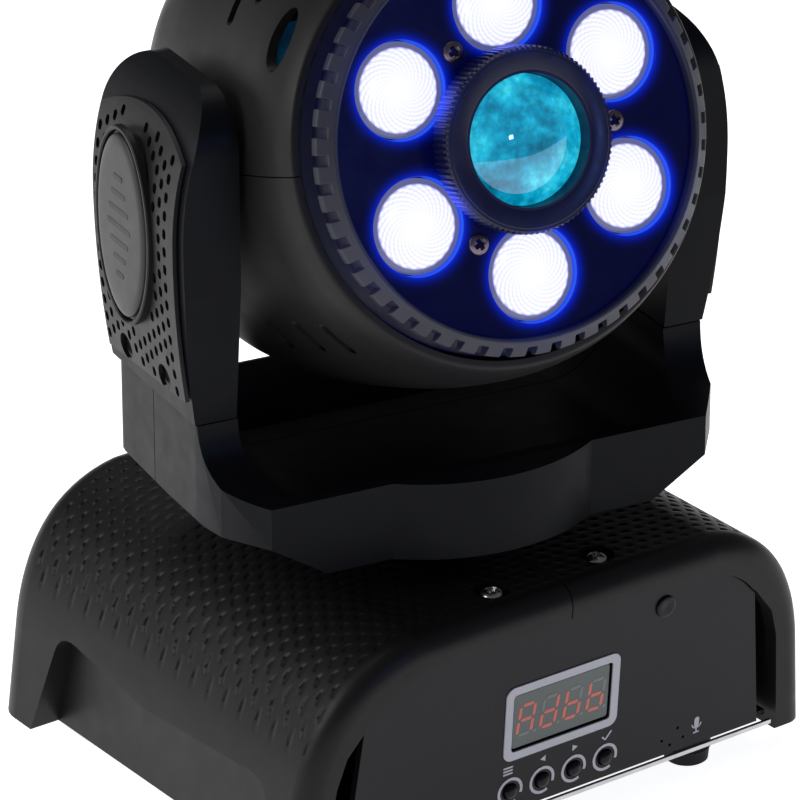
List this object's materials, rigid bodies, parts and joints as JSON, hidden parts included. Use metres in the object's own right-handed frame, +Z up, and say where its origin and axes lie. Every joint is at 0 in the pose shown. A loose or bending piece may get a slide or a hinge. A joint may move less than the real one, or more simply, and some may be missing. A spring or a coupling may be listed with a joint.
{
  "type": "moving head light",
  "caption": "Compact moving head stage light: base with display and buttons, panning yoke, tilting round head with a ring of lamps round a focusing front lens.",
  "frame": {"origin": "centre of the base plate's flat underside, on the pan axis", "axes": "+Z up along the pan axis, -Y towards the control panel and the front, +X to the right seen from the front"},
  "size_m": [0.1646, 0.1468, 0.239],
  "materials": {
    "cover_plastic": "fine satin moulding, charcoal black",
    "yoke_plastic": "fine satin moulding, charcoal black",
    "head_plastic": "fine satin moulding, charcoal black",
    "panel_plastic": "satin printed film",
    "rear_panel_paint": "fine black powder coat",
    "plate_steel": "black powder coat",
    "foot_rubber": "matt",
    "screw_steel": "bright zinc",
    "display_acrylic": "clear smoke window over grey digits",
    "button_plastic": "satin",
    "socket_plastic": "moulded",
    "socket_metal": "satin nickel",
    "circuit_board": "green solder mask",
    "motor_metal": "zinc plated",
    "pulley_brass": "turned",
    "bearing_steel": "turned",
    "belt_rubber": "toothed belt",
    "supply_metal": "folded sheet",
    "shaft_plastic": "moulded nylon",
    "badge_face": "domed resin",
    "front_plate_plastic": "gloss black",
    "ring_plastic": "satin moulding",
    "lens_acrylic": "clear faceted collimator, lit white",
    "focus_plastic": "satin, fine knurl",
    "lens_glass": "polished, cyan coating",
    "led_board_mask": "white solder mask",
    "spot_led_face": "yellow phosphor on a ceramic carrier",
    "sink_aluminium": "extruded",
    "fan_plastic": "moulded",
    "wheel_glass": "dichroic discs"
  },
  "bodies": {
    "base": {"cover_left": "cover_plastic", "cover_right": "cover_plastic", "cover_screw_left": "screw_steel", "cover_screw_right": "screw_steel", "base_plate": "plate_steel", "foot_front_left": "foot_rubber", "foot_front_right": "foot_rubber", "foot_rear_left": "foot_rubber", "foot_rear_right": "foot_rubber", "control_panel": "panel_plastic", "rear_panel": "rear_panel_paint", "display_window": "display_acrylic", "control_board": "circuit_board", "blanking_plug": "button_plastic", "power_inlet": "socket_plastic", "signal_in": "socket_metal", "signal_out": "socket_metal", "fuse_holder": "button_plastic", "pan_motor": "motor_metal", "pan_belt": "belt_rubber", "pan_bearing": "bearing_steel", "power_supply": "supply_metal"},
    "yoke": {"yoke_front_cover": "yoke_plastic", "yoke_rear_cover": "yoke_plastic", "arm_cover_left": "yoke_plastic", "arm_cover_right": "yoke_plastic", "side_plate_left": "yoke_plastic", "side_plate_right": "yoke_plastic", "badge_left": "badge_face", "badge_right": "badge_face", "pan_pulley": "shaft_plastic", "tilt_pin_left": "bearing_steel", "tilt_gear": "bearing_steel"},
    "head": {"head_upper_shell": "head_plastic", "head_lower_shell": "head_plastic", "front_plate": "front_plate_plastic", "front_ring": "ring_plastic", "led_lens_1": "lens_acrylic", "led_lens_2": "lens_acrylic", "led_lens_3": "lens_acrylic", "led_lens_4": "lens_acrylic", "led_lens_5": "lens_acrylic", "led_lens_6": "lens_acrylic", "led_board": "led_board_mask", "spot_led": "spot_led_face", "heat_sink": "sink_aluminium", "colour_wheel_motor": "motor_metal", "pattern_wheel_motor": "motor_metal", "tilt_motor": "motor_metal"},
    "button_1": {"button_1": "button_plastic"},
    "button_2": {"button_2": "button_plastic"},
    "button_3": {"button_3": "button_plastic"},
    "button_4": {"button_4": "button_plastic"},
    "pan_motor_pulley": {"pan_motor_pulley": "pulley_brass"},
    "tilt_pinion": {"tilt_pinion": "pulley_brass"},
    "focus_ring": {"focus_ring": "focus_plastic"},
    "front_lens": {"front_lens": "lens_glass"},
    "colour_wheel": {"colour_wheel": "wheel_glass"},
    "pattern_wheel": {"pattern_wheel": "wheel_glass"},
    "fan_rotor": {"fan_rotor": "fan_plastic"}
  },
  "joints": [
    {"name": "pan", "type": "hinge", "parent": "base", "child": "yoke", "pos_m": [0, 0, 0.065], "axis": [0, 0, 1], "range_deg": [-260.5, 279.5]},
    {"name": "tilt", "type": "hinge", "parent": "yoke", "child": "head", "pos_m": [-0.00124, -0.0074, 0.1613], "axis": [-0.9863, 0.165, 0], "range_deg": [-27, 173]},
    {"name": "button_1_press", "type": "slide", "parent": "base", "child": "button_1", "axis": [0, 0.9976, 0.0698], "range_m": [0, 0.0006], "stiffness_N_per_m": 800},
    {"name": "button_2_press", "type": "slide", "parent": "base", "child": "button_2", "axis": [0, 0.9976, 0.0698], "range_m": [0, 0.0006], "stiffness_N_per_m": 800},
    {"name": "button_3_press", "type": "slide", "parent": "base", "child": "button_3", "axis": [0, 0.9976, 0.0698], "range_m": [0, 0.0006], "stiffness_N_per_m": 800},
    {"name": "button_4_press", "type": "slide", "parent": "base", "child": "button_4", "axis": [0, 0.9976, 0.0698], "range_m": [0, 0.0006], "stiffness_N_per_m": 800},
    {"name": "pan_motor_pulley_spin", "type": "hinge", "parent": "base", "child": "pan_motor_pulley", "pos_m": [-0.0405, 0, 0.039], "axis": [0, 0, 1], "range_deg": [-560, 600]},
    {"name": "tilt_pinion_spin", "type": "hinge", "parent": "head", "child": "tilt_pinion", "pos_m": [0.0434, -0.03754, 0.15671], "axis": [-0.9863, 0.165, 0], "range_deg": [-70, 440]},
    {"name": "focus_ring_turn", "type": "hinge", "parent": "head", "child": "focus_ring", "pos_m": [-0.01038, -0.06204, 0.17845], "axis": [-0.1577, -0.9422, 0.2957], "range_deg": [-60, 60]},
    {"name": "front_lens_focus", "type": "slide", "parent": "head", "child": "front_lens", "axis": [-0.1577, -0.9422, 0.2957], "range_m": [-0.0011, 0.0011]},
    {"name": "colour_wheel_spin", "type": "hinge", "parent": "head", "child": "colour_wheel", "pos_m": [-0.01852, -0.0016, 0.16041], "axis": [-0.1577, -0.9422, 0.2957], "continuous": true},
    {"name": "pattern_wheel_spin", "type": "hinge", "parent": "head", "child": "pattern_wheel", "pos_m": [0.01588, -0.01414, 0.16248], "axis": [-0.1577, -0.9422, 0.2957], "continuous": true},
    {"name": "fan_spin", "type": "hinge", "parent": "head", "child": "fan_rotor", "pos_m": [0.00475, 0.02841, 0.15006], "axis": [-0.1577, -0.9422, 0.2957], "continuous": true}
  ],
  "couplings": [
    {"joint": "pan_motor_pulley_spin", "follows": "pan", "ratio": 1.9512},
    {"joint": "tilt_pinion_spin", "follows": "tilt", "ratio": 2.5},
    {"joint": "front_lens_focus", "follows": "focus_ring_turn", "m_per_rad": 0.001}
  ]
}
